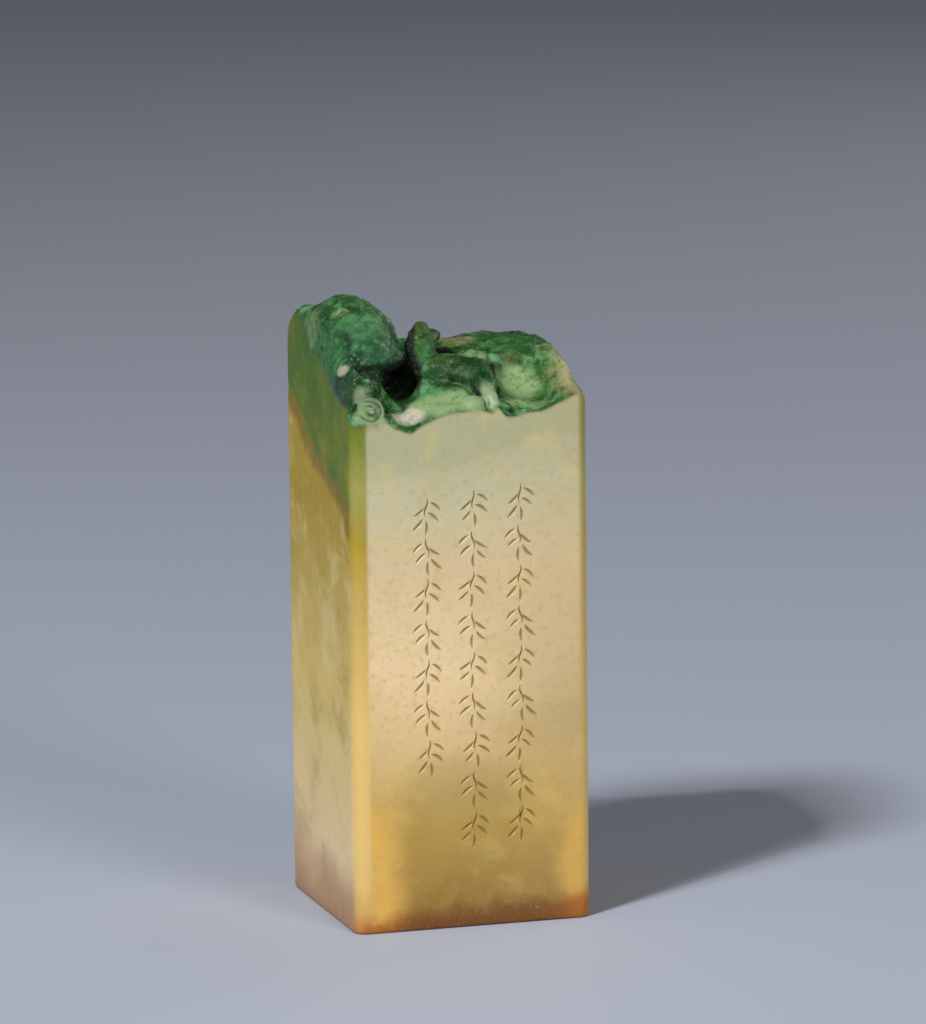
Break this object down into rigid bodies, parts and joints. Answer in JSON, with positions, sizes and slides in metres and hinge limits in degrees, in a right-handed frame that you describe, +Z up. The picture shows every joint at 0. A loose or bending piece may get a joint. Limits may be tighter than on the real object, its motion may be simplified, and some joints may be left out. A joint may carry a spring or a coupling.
{
  "type": "seal stamp",
  "caption": "Square soapstone seal: a tall polished shaft with rockwork carved in the round on top and a printing face cut in relief underneath.",
  "frame": {"origin": "centre of the printing face, in the plane that it prints with", "axes": "+Z up along the shaft, from the printing face to the carved top; the broad front face looks along -Y, with its left edge at -X"},
  "size_m": [0.028, 0.027, 0.071],
  "materials": {
    "soapstone": "polished and waxed, slightly translucent, honey to olive with a green top"
  },
  "bodies": {
    "root": {"seal_stone": "soapstone"}
  },
  "joints": []
}
